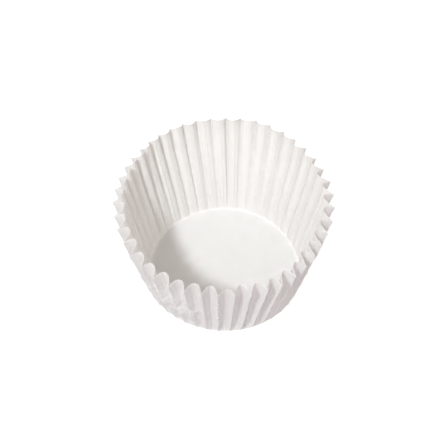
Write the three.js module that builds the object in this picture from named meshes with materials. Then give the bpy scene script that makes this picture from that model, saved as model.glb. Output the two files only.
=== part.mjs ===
// Fluted baking cup: one disc of thin greaseproof paper, pressed into a flat floor, a rounded bend and a
// flared wall of flutes. Each flute is a round lobe that bulges into the cup, between two sharp creases
// that point outwards. Millimetres, +Z up. The origin is the middle of the floor's underside.

import * as THREE from 'three';

// The sheet
const PAPER = 0.06; // thickness

// The cup, measured along its creases, which are the outermost lines of the wall
const FOOT_RADIUS = 26.4; // where the creases, drawn straight down, would meet the table
const RIM_RADIUS = 34.2;
const HEIGHT = 36.2; // of the creases' upper ends
const BEND_RADIUS = 2.4; // between the floor and the wall, on average round the cup

// The flutes
const FLUTES = 44;
const FLUTE_DEPTH = 2.6; // from the creases in to the lobe's tip, at the rim, on average
const LOBE_RISE = 0.9; // how much farther up the wall the paper reaches at a lobe than at a crease
const DEPTH_POWER = 0.6; // under 1, a flute is deep soon after the floor and then grows slowly
const LOBE_POWER = 2.3; // 2 gives a parabola across a lobe, and more gives a broader tip
const FIRST_CREASE = THREE.MathUtils.degToRad(-28.9);

// Unevenness left by the press and by handling, as waves round the cup. Each row is how many times the
// wave goes round, its amount, and the angle of one peak in degrees, anticlockwise from +X.
const CREASE_DRIFT_DEGREES = [[1, 1.4, 10], [2, 2.2, 91], [3, 0.6, 118], [4, 0.4, 31]]; // at the rim
const RIM_RADIUS_WAVES = [[6, 0.3, 59], [5, 0.15, 9]];
const FOOT_RADIUS_WAVES = [[2, 0.2, 0], [3, 0.2, 90]];
const BEND_WAVE_SHARES = [[1, 0.92, 90], [2, 0.45, 90]]; // softest at the back
const DEPTH_WAVE_SHARES = [[1, 0.03, 320], [2, 0.25, 0], [17, 0.05, 20]];
const RISE_WAVE_SHARES = [[2, 0.33, 0]];

// How finely the curved sheet is divided
const ACROSS_FLUTE = [-1, -0.72, -0.38, 0, 0.38, 0.72]; // -1 is a crease and 0 is the lobe's tip
const BEND_STEPS = 3;
const WALL_STEPS = 6;
const WALL_STEP_POWER = 1.3; // over 1 sets the wall's rows closer together near the floor

// The waves' sum at an angle in radians
function waves(rows, angle) {
  let sum = 0;
  for (const [times, amount, peak] of rows) {
    sum += amount * Math.cos(times * (angle - THREE.MathUtils.degToRad(peak)));
  }
  return sum;
}

// The line that a crease follows from the floor's edge to the rim, in the upright plane at an angle: an
// arc of the bend that runs smoothly into the straight, leaning wall
function creaseLine(angle) {
  const foot = FOOT_RADIUS + waves(FOOT_RADIUS_WAVES, angle);
  const rim = RIM_RADIUS + waves(RIM_RADIUS_WAVES, angle);
  const radius = BEND_RADIUS * (1 + waves(BEND_WAVE_SHARES, angle));
  const lean = Math.atan2(rim - foot, HEIGHT);
  const turn = Math.PI / 2 - lean;
  const cornerToTangent = radius * Math.tan(turn / 2);
  const floorRadius = foot - cornerToTangent;
  const wallLength = Math.hypot(rim - foot, HEIGHT) - cornerToTangent;
  const bendLength = radius * turn;
  return { radius, lean, floorRadius, wallLength, bendLength };
}

// Middle of the sheet. Turn is in flutes from the first crease, across runs from -1 at one crease over 0 at
// the lobe's tip to 1 at the next, and row counts the rows up from the floor's edge. A lobe is the crease
// line moved square to itself into the cup, by a depth that grows up the wall.
function sheetPoint(turn, across, row) {
  const evenAngle = FIRST_CREASE + turn * 2 * Math.PI / FLUTES;
  const line = creaseLine(evenAngle);
  const length = line.bendLength + line.wallLength;
  const wallShare = Math.max((row - BEND_STEPS) / WALL_STEPS, 0) ** WALL_STEP_POWER;
  const bendShare = Math.min(row / BEND_STEPS, 1);
  const share = (bendShare * line.bendLength + wallShare * line.wallLength) / length;

  const lobe = 1 - Math.abs(across) ** LOBE_POWER;
  const rise = LOBE_RISE * (1 + waves(RISE_WAVE_SHARES, evenAngle));
  const depth = FLUTE_DEPTH * (1 + waves(DEPTH_WAVE_SHARES, evenAngle)) * share ** DEPTH_POWER * lobe;
  const drift = THREE.MathUtils.degToRad(waves(CREASE_DRIFT_DEGREES, evenAngle)) * share;

  const along = share * (length + rise * lobe * share);
  const bent = Math.min(along, line.bendLength) / line.radius;
  const straight = Math.max(along - line.bendLength, 0);
  const out = line.floorRadius + line.radius * Math.sin(bent) + straight * Math.sin(line.lean);
  const up = line.radius * (1 - Math.cos(bent)) + straight * Math.cos(line.lean);
  const radius = out - depth * Math.sin(bent);
  const angle = evenAngle + drift;
  return new THREE.Vector3(
    radius * Math.cos(angle),
    radius * Math.sin(angle),
    PAPER / 2 + up + depth * Math.cos(bent),
  );
}

// The rows of the sheet's middle, from the floor's edge up, each going once round the cup
function sheetRows() {
  const rows = [];
  for (let row = 0; row <= BEND_STEPS + WALL_STEPS; row += 1) {
    const points = [];
    for (let flute = 0; flute < FLUTES; flute += 1) {
      for (const across of ACROSS_FLUTE) {
        points.push(sheetPoint(flute + (across + 1) / 2, across, row));
      }
    }
    rows.push(points);
  }
  return rows;
}

// Half a thickness out of the cup at one point. The two faces that meet there, to its left and right, both
// keep their full thickness, so the step is longer at a crease. The floor's edge goes straight down.
function halfThickness(rows, row, column) {
  if (row === 0) {
    return new THREE.Vector3(0, 0, -PAPER / 2);
  }
  const points = rows[row];
  const point = points[column];
  const above = rows[Math.min(row + 1, rows.length - 1)][column];
  const upwards = above.clone().sub(rows[row - 1][column]);
  const before = point.clone().sub(points[(column + points.length - 1) % points.length]);
  const after = points[(column + 1) % points.length].clone().sub(point);
  const leftFace = before.cross(upwards).normalize();
  const rightFace = after.cross(upwards).normalize();
  const mitre = (PAPER / 2) / (1 + leftFace.dot(rightFace));
  return leftFace.add(rightFace).multiplyScalar(mitre);
}

// The closed solid: the outer skin, the inner skin, the cut edge at the rim, and both sides of the floor
function cupGeometry() {
  const rows = sheetRows();
  const columns = rows[0].length;
  const positions = [];
  const faces = [];
  for (const side of [1, -1]) {
    rows.forEach((points, row) => {
      points.forEach((point, column) => {
        const skin = halfThickness(rows, row, column).multiplyScalar(side).add(point);
        positions.push(skin.x, skin.y, skin.z);
      });
    });
  }
  const underside = positions.push(0, 0, 0) / 3 - 1;
  const upside = positions.push(0, 0, PAPER) / 3 - 1;
  const outer = (row, column) => row * columns + column % columns;
  const inner = (row, column) => rows.length * columns + outer(row, column);

  const top = rows.length - 1;
  for (let column = 0; column < columns; column += 1) {
    const next = column + 1;
    for (let row = 0; row < top; row += 1) {
      faces.push(outer(row, column), outer(row, next), outer(row + 1, next));
      faces.push(outer(row, column), outer(row + 1, next), outer(row + 1, column));
      faces.push(inner(row, column), inner(row + 1, next), inner(row, next));
      faces.push(inner(row, column), inner(row + 1, column), inner(row + 1, next));
    }
    faces.push(outer(top, column), outer(top, next), inner(top, next));
    faces.push(outer(top, column), inner(top, next), inner(top, column));
    faces.push(underside, outer(0, next), outer(0, column));
    faces.push(upside, inner(0, column), inner(0, next));
  }

  const geometry = new THREE.BufferGeometry();
  geometry.setAttribute('position', new THREE.Float32BufferAttribute(positions, 3));
  geometry.setIndex(faces);
  geometry.computeVertexNormals();
  return geometry;
}

const paper = new THREE.MeshStandardMaterial({ color: 0xf3f0ed, roughness: 0.85, metalness: 0 });
const cup = new THREE.Mesh(cupGeometry(), paper);
cup.name = 'baking_cup';

const group = new THREE.Group();
group.add(cup);

export default group;
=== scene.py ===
# A fluted paper baking cup on a white table, in metres. The cup is one disc of greaseproof paper, pressed
# into shape, so the object is a single piece. It takes the place of the plainer solid that is loaded first.

import math

import bpy
import numpy as np
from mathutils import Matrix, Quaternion, Vector


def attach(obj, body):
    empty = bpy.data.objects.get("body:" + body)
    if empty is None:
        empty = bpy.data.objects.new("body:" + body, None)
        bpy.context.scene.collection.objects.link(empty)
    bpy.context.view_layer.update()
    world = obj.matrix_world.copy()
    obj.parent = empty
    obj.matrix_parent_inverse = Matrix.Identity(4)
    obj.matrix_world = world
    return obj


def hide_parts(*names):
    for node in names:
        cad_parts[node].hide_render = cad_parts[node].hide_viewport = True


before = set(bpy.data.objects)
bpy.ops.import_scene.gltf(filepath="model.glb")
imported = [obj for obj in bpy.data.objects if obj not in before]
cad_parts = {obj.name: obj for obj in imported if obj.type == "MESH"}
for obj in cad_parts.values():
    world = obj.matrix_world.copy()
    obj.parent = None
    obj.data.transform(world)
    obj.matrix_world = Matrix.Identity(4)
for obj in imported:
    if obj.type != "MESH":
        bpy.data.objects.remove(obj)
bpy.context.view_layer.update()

scene = bpy.context.scene


# The camera stands in front of the cup and well above it, and looks down through the open mouth on to the
# floor. It is a short telephoto, so the cup's far side is only a little smaller than its near side.
CAMERA_DISTANCE = 0.300
CAMERA_ELEVATION = math.radians(55.6)
CAMERA_LENS = 73.7  # in millimetres, for a sensor 36 mm wide
CAMERA_AIM = Vector((0, 0, 0.016))
CAMERA_ROLL = math.radians(-0.71)
CAMERA_LOOKS_UP = math.radians(0.90)  # past the aim, which leaves the cup a little below the middle
CAMERA_LOOKS_RIGHT = math.radians(0.05)

towards_camera = Vector((0, -math.cos(CAMERA_ELEVATION), math.sin(CAMERA_ELEVATION)))
camera = bpy.data.objects.new("camera", bpy.data.cameras.new("camera"))
camera.data.sensor_width = 36
camera.data.lens = CAMERA_LENS
camera.data.clip_start = 0.01
camera.location = CAMERA_AIM + towards_camera * CAMERA_DISTANCE
camera.rotation_mode = "QUATERNION"
camera.rotation_quaternion = (
    (-towards_camera).to_track_quat("-Z", "Y")
    @ Quaternion((0, 0, 1), CAMERA_ROLL)
    @ Quaternion((1, 0, 0), CAMERA_LOOKS_UP)
    @ Quaternion((0, 1, 0), -CAMERA_LOOKS_RIGHT)
)
scene.collection.objects.link(camera)
scene.camera = camera


# The table is a wide sheet of opal acrylic, lit from below as a photographer's light table is, so the cup
# stands on an even white ground and its shadow there stays pale.
TABLE_WIDTH = 6.0
TABLE_TOP = -0.00005  # the cup's floor isn't perfectly flat, and most of it lies this far above the table
TABLE_COLOUR = "#C8C8C8"
TABLE_GLOW = 0.6
ACRYLIC_ROUGHNESS = 0.6


def linear(colour):
    """An sRGB hex colour as the linear red, green, blue and alpha that shaders take."""
    shares = [int(colour[i : i + 2], 16) / 255 for i in (1, 3, 5)]
    return [c / 12.92 if c <= 0.04045 else ((c + 0.055) / 1.055) ** 2.4 for c in shares] + [1]


def add_node(tree, kind, settings=None, **inputs):
    """Adds a shader node. Settings are the node's own properties. Each input is named with _ for a space,
    and is a value, or an output of another node, which is then linked to it."""
    node = tree.nodes.new("ShaderNode" + kind)
    for name, value in (settings or {}).items():
        setattr(node, name, value)
    for name, value in inputs.items():
        socket = next(s for s in node.inputs if s.enabled and s.name.replace(" ", "_") == name)
        if isinstance(value, bpy.types.NodeSocket):
            tree.links.new(value, socket)
        else:
            socket.default_value = value
    return node


def new_material(name):
    """A node material with nothing in its tree, and that tree."""
    material = bpy.data.materials.new(name)
    material.use_nodes = True
    material.node_tree.nodes.clear()
    return material, material.node_tree


# Opal acrylic, cast and lit from below: smooth, with a faint gloss, and the same white all over.
acrylic, tree = new_material("opal_acrylic")
surface = add_node(
    tree, "BsdfPrincipled", Base_Color=linear(TABLE_COLOUR), Roughness=ACRYLIC_ROUGHNESS,
    Emission_Color=linear("#FFFFFF"), Emission_Strength=TABLE_GLOW,
)
add_node(tree, "OutputMaterial", Surface=surface.outputs[0])

half = TABLE_WIDTH / 2
table_corners = [(x * half, y * half, TABLE_TOP) for x, y in ((-1, -1), (1, -1), (1, 1), (-1, 1))]
table_mesh = bpy.data.meshes.new("table")
table_mesh.from_pydata(table_corners, [], [(0, 1, 2, 3)])
table_mesh.materials.append(acrylic)
table = bpy.data.objects.new("table", table_mesh)
# The room's light from below stands for what the table throws back on to the cup.
table.visible_diffuse = False
table.visible_shadow = False
scene.collection.objects.link(table)

# The round of table that the cup's floor covers, a sheet of painted shade: it stands for the table in the
# cup's shade. It is the same opal acrylic, but it doesn't glow and it keeps the room's light from below off
# the cup, so it gives back only the light that comes through the paper, a warm white that warms the shade on
# the floor.
COVERED_RADIUS = 0.0246
COVERED_MIDDLE = (0, -0.0009, -0.00004)
COVERED_CORNERS_EVERY = 5  # degrees
# painted shade: the warm white of the table's shaded round under the cup
COVERED_SHADE_COLOUR = "#FAF6EA"
covered_shade_acrylic, tree = new_material("unlit_acrylic")
surface = add_node(tree, "BsdfPrincipled", Base_Color=linear(COVERED_SHADE_COLOUR), Roughness=ACRYLIC_ROUGHNESS)
add_node(tree, "OutputMaterial", Surface=surface.outputs[0])

angles = np.radians(np.arange(0, 360, COVERED_CORNERS_EVERY))
ring = np.stack([np.cos(angles), np.sin(angles), np.zeros(len(angles))], -1) * COVERED_RADIUS
covered_mesh = bpy.data.meshes.new("covered_table")
covered_mesh.from_pydata((ring + COVERED_MIDDLE).tolist(), [], [list(range(len(ring)))])
covered_mesh.materials.append(covered_shade_acrylic)
covered = bpy.data.objects.new("covered_table", covered_mesh)
scene.collection.objects.link(covered)


# One small soft lamp in front, to the left and high up, throws the shadow of the cup's near left wall on to
# the cup's floor. It is a little cooler than the white room, which fills in the rest together with a weak
# wide panel. The room's lower half stands for what the lit table throws back.
LAMP_COLOUR = "#F3FBFF"
ROOM_ABOVE = "#E7DFDC"
ROOM_BELOW = "#C1BAC3"
HORIZON_BLUR = 0.1  # how far above and below the horizon one turns into the other, as a direction's Z


def add_lamp(name, azimuth, elevation, distance, width, watts):
    """A round lamp that faces the cup. Azimuth and elevation are in degrees, and azimuth runs anticlockwise
    from +X. Distance and width, which is the lamp's diameter, are in metres."""
    towards = Vector((
        math.cos(math.radians(elevation)) * math.cos(math.radians(azimuth)),
        math.cos(math.radians(elevation)) * math.sin(math.radians(azimuth)),
        math.sin(math.radians(elevation)),
    ))
    lamp = bpy.data.objects.new(name, bpy.data.lights.new(name, "AREA"))
    lamp.data.shape = "DISK"
    lamp.data.size = width
    lamp.data.energy = watts
    lamp.data.color = linear(LAMP_COLOUR)[:3]
    lamp.location = towards * distance
    lamp.rotation_mode = "QUATERNION"
    lamp.rotation_quaternion = (-towards).to_track_quat("-Z", "Y")
    scene.collection.objects.link(lamp)


add_lamp("lamp", azimuth=-124, elevation=56.5, distance=1.4, width=0.14, watts=14.0)
add_lamp("panel", azimuth=-90, elevation=45, distance=1.4, width=1.2, watts=2.2)

room = bpy.data.worlds.new("white_room")
room.use_nodes = True
tree = room.node_tree
tree.nodes.clear()
direction = add_node(tree, "SeparateXYZ", Vector=add_node(tree, "TexCoord").outputs["Generated"])
height = add_node(
    tree, "MapRange", Value=direction.outputs["Z"], From_Min=-HORIZON_BLUR, From_Max=HORIZON_BLUR
)
white = add_node(
    tree, "Mix", {"data_type": "RGBA"},
    Factor=height.outputs[0], A=linear(ROOM_BELOW), B=linear(ROOM_ABOVE),
)
glow = add_node(tree, "Background", Color=white.outputs[2], Strength=1.0)
add_node(tree, "OutputWorld", Surface=glow.outputs[0])
scene.world = room
scene.view_settings.view_transform = "Standard"


# The cup is one disc of thin white greaseproof paper. A press stamps it in one stroke into a flat floor, a
# rounded bend and a flared wall of flutes, each a round lobe that bulges into the cup between two sharp
# creases that point outwards.
MM = 0.001

# The sheet and the cup in millimetres, measured along the creases
PAPER = 0.06
FOOT_RADIUS = 25.52  # where the creases, drawn straight down, would meet the table, on average
RIM_RADIUS = 34.2
HEIGHT = 36.2  # of the creases' upper ends, on average
BEND_RADIUS = 0.95  # between the floor and the wall, on average round the cup

# The flutes, in millimetres and degrees
FLUTES = 44
FLUTE_DEPTH = 2.6  # from the creases in to the lobe's tip, at the rim, on average
LOBE_RISE = 0.9  # how much farther up the wall the paper reaches at a lobe than at a crease
DEPTH_POWER = 0.45  # under 1, a flute is deep soon after the floor and then grows slowly
LOBE_POWER = 2.5  # 2 gives a parabola across a lobe, and more gives a broader tip
FIRST_CREASE = -28.9  # its angle at the floor's edge, anticlockwise from +X

# Unevenness left by the press and by handling, as waves round the cup. Each row is how many times the wave
# goes round, its amount, and the angle of one peak in degrees, anticlockwise from +X.
CREASE_DRIFT_DEGREES = [(1, 1.4, 10), (2, 2.2, 91), (3, 0.6, 118), (4, 0.4, 31)]  # at the rim
RIM_RADIUS_WAVES = [(1, 0.25, 45), (6, 0.3, 59), (5, 0.15, 9)]
HEIGHT_WAVES = [(1, 0.55, 90)]
FOOT_RADIUS_WAVES = [(1, 1.25, 270), (2, 0.58, 0), (3, 0.2, 90)]
BEND_WAVE_SHARES = [(1, 0.1, 270), (2, 0.37, 90)]  # softest at the front and the back
DEPTH_WAVE_SHARES = [(1, 0.31, 256), (2, 0.25, 0), (17, 0.05, 20)]
RISE_WAVE_SHARES = [(2, 0.33, 0)]
LOBE_POWER_WAVES = [(1, 0.4, 165)]
RIM_FLARE = 0.55  # how much farther the lobes reach inwards at the rim
RIM_FLARE_POWER = 6  # which leaves most of the flare to the last fifth of the wall
RIM_FLARE_WAVE_SHARES = [(1, 1.0, 60)]

# What differs from one flute to the next, as the most that each may differ by
random = np.random.default_rng(44)
DEPTH_SPREAD_SHARE = 0.07
RISE_SPREAD = 0.18
SKEW_SPREAD = 0.10  # of the lobe's tip towards one of its creases, in half widths of a flute
CREASE_SPREAD_DEGREES = 0.25

# The paper fades smoothly from the flat floor into the flutes, and its cut edge turns slightly inwards.
FLUTES_FADE_IN = 0.024  # share of the way up the wall
FADE_IN_WAVES = [(1, 0.024, 270), (2, 0.012, 90)]  # slowest at the front
EDGE_TURN = 0.12
EDGE_TURN_FROM = 0.985  # share of the way up the wall

# Wear from handling: the lobe nearest the camera is bent out and down, the crease on its left is nicked, and
# the flutes on the cup's near left side are pressed flatter and crumpled, with the foot drawn in below them.
# Losses of depth are shares of it, and the other sizes are in millimetres where nothing else is said.
BENT_LOBE = 36  # counted from the first crease
BENT_LOBE_DEPTH_LOSS = 0.40
BENT_LOBE_DROP = 0.6
NICK_LENGTH = 3.2  # from one to the next
NICK_WIDTH = 0.15  # in flutes
NICK_DEPTH_DEGREES = 0.6
NICK_UNEVENNESS = 0.15  # of their spacing
NICKS_REACH = (0.25, 0.85)  # share of the way up the wall
CRUSHED_AT_DEGREES = 238
CRUSHED_WIDTH_DEGREES = 24
CRUSHED_AT_SHARE = 0.42
CRUSHED_HEIGHT_SHARE = 0.32
CRUSHED_DEPTH_LOSS = 0.62
CRUSHED_FOOT_LOSS = 0.6  # off its radius
CRUSHED_SWELL = 0.4  # by which the wall bulges out above the foot
CRUMPLE_DEPTH = 0.30
CRUMPLE_WIDTHS = (4.2, 4.6)  # of its folds, across and then up the wall
DENT_DEPTH = 0.07
DENT_WIDTHS = (7, 14)
FOLD_WAVES = 24  # that are summed for the crumples and for the dents
FOLD_FREQUENCIES = (0.5, 1.3)  # of those waves, as shares of what the width asks for
WEAR_DIRECTIONS = (1, 1, 0.5)  # crumples and dents move the paper less up and down than sideways

# How finely the sheet is divided
ACROSS_STEPS = 16  # from crease to crease
BEND_STEPS = 16
BEND_STEPS_REACH = 0.11  # share of the way up the wall
WALL_STEPS = 44
FLOOR_RINGS = np.array([0.2, 0.4, 0.6, 0.8, 0.94])  # shares of the floor's radius
SHARP_FROM_DEGREES = 40  # faces that meet at more than this have a hard edge between them


def waves(rows, degrees):
    """The sum over the rows of the amount times a cosine, which is 1 at the peak and goes round the cup as
    many times as the row says."""
    return sum(amount * np.cos(np.radians(times * (degrees - peak))) for times, amount, peak in rows)


DEPTH_DRAWS, RISE_DRAWS, SKEW_DRAWS, CREASE_DRAWS = (
    spread * random.uniform(-1, 1, FLUTES)
    for spread in (DEPTH_SPREAD_SHARE, RISE_SPREAD, SKEW_SPREAD, CREASE_SPREAD_DEGREES)
)


def crushed(degrees, share):
    """How crushed the flutes are, from 0 to 1: a bell curve round the cup times one up the wall."""
    round_cup = (degrees % 360 - CRUSHED_AT_DEGREES) / CRUSHED_WIDTH_DEGREES
    up_wall = (share - CRUSHED_AT_SHARE) / CRUSHED_HEIGHT_SHARE
    return np.exp(-(round_cup**2) - up_wall**2)


def nicks(turn, share):
    """Sideways shift in degrees of the crease on the bent lobe's left: a slightly uneven zigzag up the wall,
    times a bell curve across the flutes."""
    steps = share * HEIGHT / NICK_LENGTH + NICK_UNEVENNESS * np.sin(share * HEIGHT)
    zigzag = 2 * np.abs(2 * (steps % 1) - 1) - 1
    there = (share > NICKS_REACH[0]) & (share < NICKS_REACH[1])
    return NICK_DEPTH_DEGREES * zigzag * there * np.exp(-(((turn - BENT_LOBE) / NICK_WIDTH) ** 2))


def folds(turn, share, widths):
    """A crumpled height from -1 to 1: the sum of waves that run at random slants, each a whole number of
    times round the cup, folded back at its middle level, so that it has ridges like creased paper's."""
    across_width, up_width = widths
    frequencies = random.uniform(*FOLD_FREQUENCIES, FOLD_WAVES)
    rounds = np.round(frequencies * 2 * np.pi * RIM_RADIUS / across_width / 2)
    climbs = random.uniform(-1, 1, FOLD_WAVES) * HEIGHT / up_width
    starts = random.uniform(0, 1, FOLD_WAVES)
    height = sum(
        np.cos(2 * np.pi * (rounds[i] * turn / FLUTES + climbs[i] * share + starts[i]))
        for i in range(FOLD_WAVES)
    )
    return 1 - 2 * np.abs(np.tanh(height / np.sqrt(FOLD_WAVES)))


def sheet(turn, share):
    """Middle of the sheet in millimetres, at arrays of turn, in flutes from the first crease, and of share,
    from 0 at the floor's edge to 1 at the rim. In the upright plane at each angle, a crease follows an arc
    of the bend that runs smoothly into the straight, leaning wall. A lobe is that line moved square to
    itself into the cup, by the depth times 1 minus a power of the distance across from the lobe's middle.
    The depth is a power of the share, faded in at the floor's edge, plus the flare, a higher power of it. A
    lobe also reaches farther up, by the rise times the share squared. Returns the points, and the length of
    paper from the floor's middle to each of them."""
    flute = np.floor(turn).astype(int)
    bent_lobe = (flute == BENT_LOBE) * share**2
    degrees = FIRST_CREASE + turn * 360 / FLUTES
    across = 2 * (turn % 1) - 1
    across = across + SKEW_DRAWS[flute] * (1 - across**2)
    foot = FOOT_RADIUS + waves(FOOT_RADIUS_WAVES, degrees)
    foot = foot - CRUSHED_FOOT_LOSS * crushed(degrees, CRUSHED_AT_SHARE)
    rim = RIM_RADIUS + waves(RIM_RADIUS_WAVES, degrees)
    bend_radius = BEND_RADIUS * (1 + waves(BEND_WAVE_SHARES, degrees))
    height = HEIGHT + waves(HEIGHT_WAVES, degrees)
    lean = np.arctan2(rim - foot, height)
    corner_to_tangent = bend_radius * np.tan((np.pi / 2 - lean) / 2)
    floor_radius = foot - corner_to_tangent
    bend_length = bend_radius * (np.pi / 2 - lean)
    length = bend_length + np.hypot(rim - foot, height) - corner_to_tangent

    lobe = 1 - np.abs(across) ** (LOBE_POWER + waves(LOBE_POWER_WAVES, degrees))
    rise = LOBE_RISE * (1 + waves(RISE_WAVE_SHARES, degrees)) + RISE_DRAWS[flute]
    rise = rise - BENT_LOBE_DROP * bent_lobe
    evenness = 1 + waves(DEPTH_WAVE_SHARES, degrees) + DEPTH_DRAWS[flute]
    losses = (1 - BENT_LOBE_DEPTH_LOSS * bent_lobe) * (1 - CRUSHED_DEPTH_LOSS * crushed(degrees, share))
    fade_in = 1 - np.exp(-((share / (FLUTES_FADE_IN + waves(FADE_IN_WAVES, degrees))) ** 2))
    flare = RIM_FLARE * (1 + waves(RIM_FLARE_WAVE_SHARES, degrees)) * share**RIM_FLARE_POWER
    depth = (FLUTE_DEPTH * evenness * fade_in * share**DEPTH_POWER + flare) * losses * lobe
    drift = waves(CREASE_DRIFT_DEGREES, degrees) + (1 - turn % 1) * CREASE_DRAWS[flute]
    drift = drift + (turn % 1) * np.roll(CREASE_DRAWS, -1)[flute]
    angle = np.radians(degrees + drift * share + nicks(turn, share))

    along = share * (length + rise * lobe * share)
    bent = np.minimum(along, bend_length) / bend_radius
    straight = np.maximum(along - bend_length, 0)
    out = floor_radius + bend_radius * np.sin(bent) + straight * np.sin(lean) - depth * np.sin(bent)
    out = out - EDGE_TURN * np.clip((share - EDGE_TURN_FROM) / (1 - EDGE_TURN_FROM), 0, 1) ** 2
    up = bend_radius * (1 - np.cos(bent)) + straight * np.cos(lean) + depth * np.cos(bent)
    points = np.stack([out * np.cos(angle), out * np.sin(angle), PAPER / 2 + up], axis=-1)
    return points, floor_radius + along


def outward_steps(points, size):
    """A step out of the cup at each point of a grid of rows by columns, which closes on itself round the
    cup: the mitre of the two faces that meet there, each moved by the size. The floor's edge goes straight
    down."""
    upwards = np.gradient(points, axis=0)
    before = points - np.roll(points, 1, axis=1)
    after = np.roll(points, -1, axis=1) - points
    faces = [np.cross(side, upwards) for side in (before, after)]
    left, right = (face / np.linalg.norm(face, axis=-1, keepdims=True) for face in faces)
    steps = (left + right) * size / (1 + (left * right).sum(-1, keepdims=True))
    steps[0] = (0, 0, -size)
    return steps


def cup_mesh():
    """The closed skin of the cup: the sheet moved half a thickness out and half a thickness in, joined by
    the cut edge at the rim. The rows run up from the floor's middle, first as rings of the flat floor."""
    turn = np.arange(FLUTES * ACROSS_STEPS) / ACROSS_STEPS
    share = np.concatenate([
        np.linspace(0, BEND_STEPS_REACH, BEND_STEPS, endpoint=False),
        np.linspace(BEND_STEPS_REACH, 1, WALL_STEPS + 1),
    ])
    turn, share = turn[None, :], share[:, None]
    wall, along = sheet(turn, share)
    where = crushed(FIRST_CREASE + turn * 360 / FLUTES, share)
    wear = where * (CRUSHED_SWELL + CRUMPLE_DEPTH * folds(turn, share, CRUMPLE_WIDTHS))
    wear = wear + DENT_DEPTH * folds(turn, share, DENT_WIDTHS)
    wear = wear * np.minimum(share / FLUTES_FADE_IN, 1)
    wall = wall + outward_steps(wall, 1) * wear[:, :, None] * WEAR_DIRECTIONS
    outwards = outward_steps(wall, PAPER / 2)
    rings = FLOOR_RINGS[:, None]
    floor = wall[:1] * rings[:, :, None]
    floor[:, :, 2] = PAPER / 2
    points = np.concatenate([floor, wall])
    outwards = np.concatenate([np.broadcast_to(outwards[:1], floor.shape), outwards])
    along = np.concatenate([along[:1] * rings, along])
    skins = [points + outwards, points - outwards]
    centres = np.array([[0, 0, 0], [0, 0, PAPER]])
    vertices = np.concatenate([skin.reshape(-1, 3) for skin in skins] + [centres])

    rows, columns = along.shape
    index = np.arange(rows * columns).reshape(rows, columns)
    following = np.roll(index, -1, axis=1)
    inner = rows * columns
    outer_faces = np.stack([index[:-1], following[:-1], following[1:], index[1:]], -1).reshape(-1, 4)
    inner_faces = outer_faces[:, ::-1] + inner
    edge_faces = np.stack([index[-1], following[-1], following[-1] + inner, index[-1] + inner], -1)
    quads = np.concatenate([outer_faces, inner_faces, edge_faces])
    underside = np.stack([np.full(columns, 2 * inner), following[0], index[0]], -1)
    upside = np.stack([np.full(columns, 2 * inner + 1), index[0] + inner, following[0] + inner], -1)
    triangles = np.concatenate([underside, upside])

    corners = np.concatenate([quads.ravel(), triangles.ravel()])
    sides = np.concatenate([np.full(len(quads), 4), np.full(len(triangles), 3)])
    mesh = bpy.data.meshes.new("baking_cup")
    mesh.vertices.add(len(vertices))
    mesh.vertices.foreach_set("co", (vertices * MM).ravel())
    mesh.loops.add(len(corners))
    mesh.loops.foreach_set("vertex_index", corners)
    mesh.polygons.add(len(sides))
    mesh.polygons.foreach_set("loop_start", np.concatenate([[0], np.cumsum(sides)[:-1]]))
    mesh.update(calc_edges=True)
    mesh.shade_smooth()
    mesh.set_sharp_from_angle(angle=math.radians(SHARP_FROM_DEGREES))

    angle = np.radians(FIRST_CREASE + turn * 360 / FLUTES)
    flat = np.stack([along * np.cos(angle), along * np.sin(angle)], -1).reshape(-1, 2)
    flat = np.concatenate([flat, flat, np.zeros((2, 2))])
    layer = mesh.uv_layers.new(name="flat_sheet")
    layer.uv.foreach_set("vector", (flat[corners] * MM).ravel())
    return mesh


# Bleached greaseproof paper of about 45 g per square metre. Its pulp is beaten so fine that the sheet is
# dense and a little see-through, and rollers press it smooth. That gives a clean white with a faint sheen, a
# softer and warmer white where light comes through, and a cloudiness where the pulp lies thicker.
THIN_COLOUR, THICK_COLOUR = "#F1F1F0", "#F7F7F6"
THIN_COLOUR_THROUGH, THICK_COLOUR_THROUGH = "#F6F3F0", "#F1EDE9"
THIN_SHARE_THROUGH, THICK_SHARE_THROUGH = 0.42, 0.34  # of the light that the sheet scatters
THIN_ROUGHNESS, THICK_ROUGHNESS = 0.62, 0.76
SPECULAR_LEVEL = 0.25  # half of what a closed surface has, since fibres break it up
CLOUD_WIDTH = 3.2 * MM
CLOUD_RANGE = (0.3, 0.7)  # of the noise, from the thinnest paper to the thickest
CRINKLE_WIDTH = 0.9 * MM  # of the dimples that the rollers leave
CRINKLE_HEIGHT = 0.016 * MM
FIBRE_SIZE = (1.4 * MM, 0.18 * MM)  # a real fibre is 0.03 mm thick, too fine for the picture
FIBRE_SLANTS = (24, 118)  # degrees
FIBRE_HEIGHT = 0.005 * MM
STREAK_WIDTH = 0.8 * MM  # of the lines that the press draws up the wall
STREAK_HEIGHT = 0.45 * MM  # real ones are some 0.05 mm high, and are drawn higher so that they show
STREAKS_FADE_IN = (22 * MM, 28 * MM)  # of paper from the floor's middle

paper, tree = new_material("greaseproof_paper")
flat = add_node(tree, "UVMap", {"uv_map": "flat_sheet"}).outputs[0]
cloud = add_node(tree, "TexNoise", Vector=flat, Scale=1 / CLOUD_WIDTH, Detail=3.0, Roughness=0.6)
cloud_range = add_node(
    tree, "MapRange", Value=cloud.outputs[0], From_Min=CLOUD_RANGE[0], From_Max=CLOUD_RANGE[1]
)
thickness = cloud_range.outputs[0]
colour, colour_through = (
    add_node(
        tree, "Mix", {"data_type": "RGBA"}, Factor=thickness, A=linear(thin), B=linear(thick)
    ).outputs[2]
    for thin, thick in ((THIN_COLOUR, THICK_COLOUR), (THIN_COLOUR_THROUGH, THICK_COLOUR_THROUGH))
)
roughness, share_through = (
    add_node(tree, "MapRange", Value=thickness, To_Min=thin, To_Max=thick).outputs[0]
    for thin, thick in ((THIN_ROUGHNESS, THICK_ROUGHNESS), (THIN_SHARE_THROUGH, THICK_SHARE_THROUGH))
)

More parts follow.
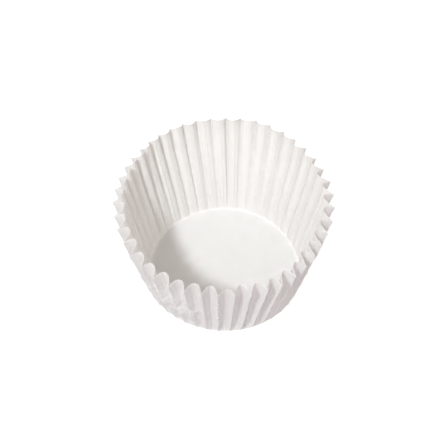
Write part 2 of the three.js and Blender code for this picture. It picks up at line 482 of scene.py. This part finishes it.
# The relief is the rollers' dimples, two lays of fibres, and the press's lines. Those run outwards on the
# flat sheet, so their noise is read from the heading alone, drawn on a circle as wide as the rim.
crinkle = add_node(tree, "TexNoise", Vector=flat, Scale=1 / CRINKLE_WIDTH, Detail=2.0)
relief = [(crinkle, CRINKLE_HEIGHT, 1.0)]
for slant in FIBRE_SLANTS:
    fibre_frame = add_node(
        tree, "Mapping", {"vector_type": "TEXTURE"},
        Vector=flat, Rotation=(0, 0, math.radians(slant)), Scale=(*FIBRE_SIZE, 1),
    )
    fibres = add_node(tree, "TexNoise", Vector=fibre_frame.outputs[0], Scale=1.0, Detail=1.0)
    relief.append((fibres, FIBRE_HEIGHT, 1.0))
heading = add_node(tree, "VectorMath", {"operation": "NORMALIZE"}, Vector=flat).outputs[0]
round_cup = add_node(tree, "VectorMath", {"operation": "SCALE"}, Vector=heading, Scale=RIM_RADIUS * MM)
streaks = add_node(tree, "TexNoise", Vector=round_cup.outputs[0], Scale=1 / STREAK_WIDTH, Detail=1.0)
from_middle = add_node(tree, "VectorMath", {"operation": "LENGTH"}, Vector=flat).outputs["Value"]
streaks_fade_in = add_node(
    tree, "MapRange", Value=from_middle, From_Min=STREAKS_FADE_IN[0], From_Max=STREAKS_FADE_IN[1]
)
relief.append((streaks, STREAK_HEIGHT, streaks_fade_in.outputs[0]))
normal = {}
for noise, height, strength in relief:
    bump = add_node(tree, "Bump", Height=noise.outputs[0], Distance=height, Strength=strength, **normal)
    normal = {"Normal": bump.outputs[0]}

reflected = add_node(
    tree, "BsdfPrincipled",
    Base_Color=colour, Roughness=roughness, Specular_IOR_Level=SPECULAR_LEVEL, **normal,
)
through = add_node(tree, "BsdfTranslucent", Color=colour_through, **normal)
both = add_node(tree, "MixShader", Fac=share_through)
tree.links.new(reflected.outputs[0], both.inputs[1])
tree.links.new(through.outputs[0], both.inputs[2])
add_node(tree, "OutputMaterial", Surface=both.outputs[0])

cup = bpy.data.objects.new("pressed_cup", cup_mesh())
cup.data.materials.append(paper)
scene.collection.objects.link(cup)
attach(cup, "root")
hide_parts("baking_cup")
